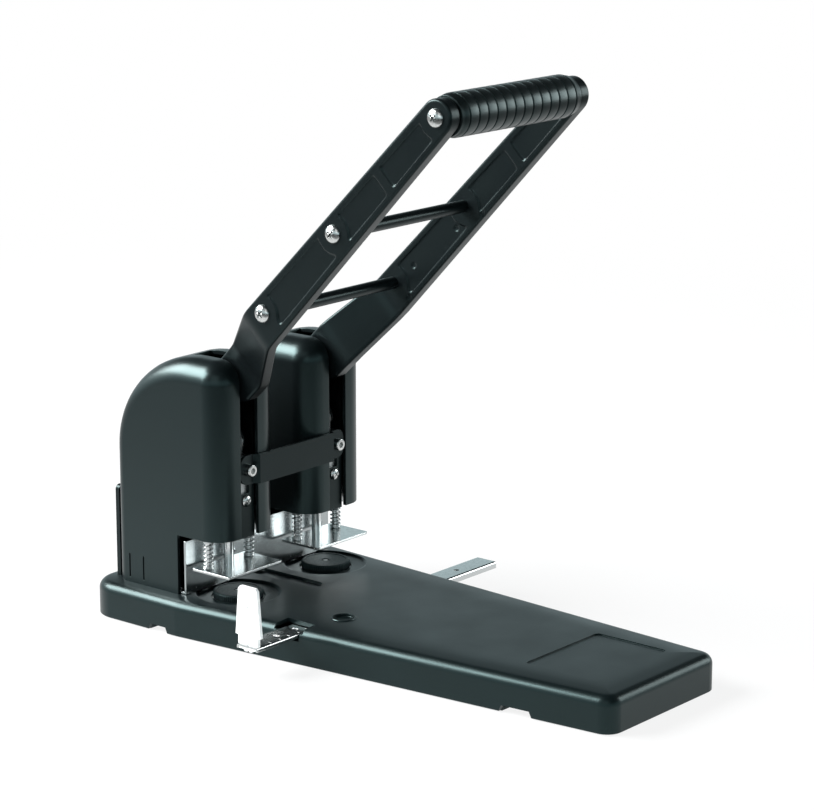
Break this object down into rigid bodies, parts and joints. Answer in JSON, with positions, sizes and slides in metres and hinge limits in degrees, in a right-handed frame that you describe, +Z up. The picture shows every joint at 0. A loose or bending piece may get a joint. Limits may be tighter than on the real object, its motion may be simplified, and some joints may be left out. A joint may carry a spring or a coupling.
{
  "type": "heavy-duty lever hole punch",
  "caption": "Heavy-duty hand punch for filing holes: a long twin-armed lever drives pins in two tall heads on a tapered black base with a sliding paper guide.",
  "frame": {"origin": "on the flat underside, midway between the two punch pins", "axes": "+X to the right across both heads, +Y to the rear, +Z up; the lever points to -Y and up at rest"},
  "size_m": [0.222, 0.3785, 0.3412],
  "materials": {
    "cover_plastic": "fine grain moulding",
    "casing_plastic": "semi-gloss moulding",
    "tray_plastic": "plain moulding",
    "disc_plastic": "plain moulding",
    "grip_plastic": "glossy moulding",
    "white_plastic": "slightly translucent",
    "rubber": "matt",
    "black_paint": "semi-gloss stove enamel",
    "bright_chrome": "polished nickel chrome",
    "steel": "ground",
    "guide_steel": "bright zinc plate",
    "spring_steel": "drawn wire",
    "zinc_plate": "zinc plate",
    "zinc_casting": "tumbled casting",
    "bronze": "sintered"
  },
  "bodies": {
    "base": {"base_cover": "cover_plastic", "bottom_tray": "tray_plastic", "rubber_feet": "rubber", "base_screws": "zinc_plate", "chassis_plate": "steel", "back_stop": "bright_chrome", "rear_plate": "black_paint", "rear_plate_screws": "zinc_plate", "head_casing_left": "casing_plastic", "head_casing_right": "casing_plastic", "head_frame_left": "steel", "head_frame_right": "steel", "frame_screws": "zinc_plate", "pivot_axle_left": "steel", "pivot_axle_right": "steel", "axle_clips": "steel", "guide_column_left": "steel", "guide_column_right": "steel", "disc_pivot_left": "steel", "disc_pivot_right": "steel", "bar_retainer": "steel", "retainer_screws": "zinc_plate", "bar_leaf_spring": "steel", "return_spring_left": "spring_steel", "return_spring_right": "spring_steel"},
    "lever": {"lever_arm_left": "black_paint", "lever_arm_right": "black_paint", "grip_sleeve": "grip_plastic", "grip_core": "steel", "cross_rod_upper": "black_paint", "cross_rod_lower": "black_paint", "arm_screws": "zinc_plate", "link_pin_left": "steel", "link_pin_right": "steel"},
    "left_links": {"links_left": "zinc_plate"},
    "right_links": {"links_right": "zinc_plate"},
    "carriage": {"slider_left": "zinc_casting", "slider_right": "zinc_casting", "guide_bush_left": "bronze", "guide_bush_right": "bronze", "slider_pin_left": "steel", "slider_pin_right": "steel", "pin_clamp_left": "black_paint", "pin_clamp_right": "black_paint", "clamp_screws": "zinc_plate", "cross_strap": "black_paint", "strap_screws": "zinc_plate", "punch_pin_left": "steel", "punch_pin_right": "steel"},
    "left_presser": {"presser_left": "bright_chrome", "presser_clips_left": "steel", "presser_springs_left": "spring_steel"},
    "right_presser": {"presser_right": "bright_chrome", "presser_clips_right": "steel", "presser_springs_right": "spring_steel"},
    "left_disc": {"cutting_disc_left": "disc_plastic"},
    "right_disc": {"cutting_disc_right": "disc_plastic"},
    "paper_guide": {"guide_bar": "guide_steel", "paper_stop": "white_plastic"}
  },
  "joints": [
    {"name": "lever_hinge", "type": "hinge", "parent": "base", "child": "lever", "pos_m": [0, 0.0265, 0.1285], "axis": [1, 0, 0], "range_deg": [0, 44], "stiffness_Nm_per_rad": 3, "springref_deg": -51.57},
    {"name": "carriage_slide", "type": "slide", "parent": "base", "child": "carriage", "axis": [0, 0, -1], "range_m": [0, 0.0139], "deforming": ["return_spring_left", "return_spring_right"]},
    {"name": "left_link_hinge", "type": "hinge", "parent": "lever", "child": "left_links", "pos_m": [-0.04, 0.0093, 0.13545], "axis": [1, 0, 0], "range_deg": [-44, 0]},
    {"name": "right_link_hinge", "type": "hinge", "parent": "lever", "child": "right_links", "pos_m": [0.04, 0.0093, 0.13545], "axis": [1, 0, 0], "range_deg": [-44, 0]},
    {"name": "left_presser_slide", "type": "slide", "parent": "carriage", "child": "left_presser", "axis": [0, 0, 1], "range_m": [0, 0.0139], "stiffness_N_per_m": 400, "springref_m": -0.008, "deforming": ["presser_springs_left"]},
    {"name": "right_presser_slide", "type": "slide", "parent": "carriage", "child": "right_presser", "axis": [0, 0, 1], "range_m": [0, 0.0139], "stiffness_N_per_m": 400, "springref_m": -0.008, "deforming": ["presser_springs_right"]},
    {"name": "left_disc_turn", "type": "hinge", "parent": "base", "child": "left_disc", "pos_m": [-0.04, -0.0074, 0.0215], "axis": [0, 0, 1], "continuous": true},
    {"name": "right_disc_turn", "type": "hinge", "parent": "base", "child": "right_disc", "pos_m": [0.04, -0.0074, 0.0215], "axis": [0, 0, 1], "continuous": true},
    {"name": "guide_slide", "type": "slide", "parent": "base", "child": "paper_guide", "axis": [1, 0, 0], "range_m": [-0.047, 0.02]}
  ],
  "couplings": [
    {"joint": "carriage_slide", "follows": "lever_hinge", "m_per_rad": 0.0181},
    {"joint": "left_link_hinge", "follows": "lever_hinge", "ratio": -1},
    {"joint": "right_link_hinge", "follows": "lever_hinge", "ratio": -1}
  ]
}
